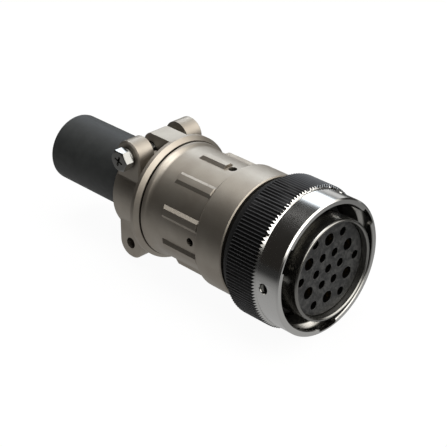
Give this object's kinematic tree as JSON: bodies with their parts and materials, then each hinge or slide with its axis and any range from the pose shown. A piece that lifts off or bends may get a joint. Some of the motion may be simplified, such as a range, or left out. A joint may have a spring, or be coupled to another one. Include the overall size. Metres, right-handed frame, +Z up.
{
  "type": "bayonet circular connector plug",
  "caption": "Circular cable plug with a turning bayonet nut, socket contacts in an insulating insert, a ribbed backshell and a screwed cable clamp with a rubber bushing.",
  "frame": {"origin": "centre of the mating face, the flat front face of the plug shell", "axes": "+X along the connector, out of the mating face towards the receptacle; +Z up, with the clamp screws above and below the cable; the cable leaves towards -X"},
  "size_m": [0.1279, 0.05, 0.05],
  "materials": {
    "polished_nickel": "polished nickel plate",
    "satin_nickel": "satin nickel plate on die-cast aluminium",
    "black_anodised": "black anodised, knurled",
    "insert_rubber": "moulded, matte",
    "seal_rubber": "moulded, matte",
    "bushing_rubber": "moulded, satin",
    "contact_gold": "gold plate",
    "spring_steel": "stainless spring steel",
    "screw_steel": "bright zinc-plated steel"
  },
  "bodies": {
    "shell_assembly": {"plug_shell": "polished_nickel", "front_insert": "insert_rubber", "rear_grommet": "seal_rubber", "insert_retaining_ring": "spring_steel", "grommet_ferrule": "satin_nickel", "contact_power_1": "contact_gold", "contact_power_2": "contact_gold", "contact_power_3": "contact_gold", "contact_power_4": "contact_gold", "contact_power_5": "contact_gold", "contact_power_6": "contact_gold", "contact_signal_1": "contact_gold", "contact_signal_2": "contact_gold", "contact_signal_3": "contact_gold", "contact_signal_4": "contact_gold", "contact_signal_5": "contact_gold", "contact_signal_6": "contact_gold", "contact_signal_7": "contact_gold", "contact_signal_8": "contact_gold", "contact_signal_9": "contact_gold", "contact_signal_10": "contact_gold", "contact_signal_11": "contact_gold", "contact_signal_12": "contact_gold", "contact_signal_13": "contact_gold", "shell_seal": "seal_rubber", "wave_spring": "spring_steel", "nut_retaining_ring": "spring_steel", "backshell": "satin_nickel", "backshell_seal": "seal_rubber", "clamp_base": "satin_nickel", "cable_bushing": "bushing_rubber"},
    "coupling_nut": {"coupling_nut": "polished_nickel", "grip_ring": "black_anodised"},
    "near_clamp": {"clamp_half_near": "satin_nickel", "lock_washer_top": "spring_steel"},
    "far_clamp": {"clamp_half_far": "satin_nickel", "lock_washer_bottom": "spring_steel"},
    "top_screw": {"clamp_screw_top": "screw_steel"},
    "bottom_screw": {"clamp_screw_bottom": "screw_steel"}
  },
  "joints": [
    {"name": "nut_turn", "type": "hinge", "parent": "shell_assembly", "child": "coupling_nut", "pos_m": [-0.0225, 0, 0], "axis": [1, 0, 0], "continuous": true},
    {"name": "near_clamp_slide", "type": "slide", "parent": "shell_assembly", "child": "near_clamp", "axis": [0, -1, 0], "range_m": [0, 0.00105]},
    {"name": "far_clamp_slide", "type": "slide", "parent": "shell_assembly", "child": "far_clamp", "axis": [0, 1, 0], "range_m": [0, 0.00105]},
    {"name": "top_screw_turn", "type": "hinge", "parent": "near_clamp", "child": "top_screw", "pos_m": [-0.08155, -0.015, 0.0168], "axis": [0, -1, 0], "range_deg": [0, 1080]},
    {"name": "bottom_screw_turn", "type": "hinge", "parent": "far_clamp", "child": "bottom_screw", "pos_m": [-0.08155, 0.015, -0.0168], "axis": [0, 1, 0], "range_deg": [0, 1080]}
  ],
  "couplings": [
    {"joint": "far_clamp_slide", "follows": "near_clamp_slide", "ratio": 1},
    {"joint": "top_screw_turn", "follows": "near_clamp_slide", "rad_per_m": 17952},
    {"joint": "bottom_screw_turn", "follows": "near_clamp_slide", "rad_per_m": 17952}
  ]
}
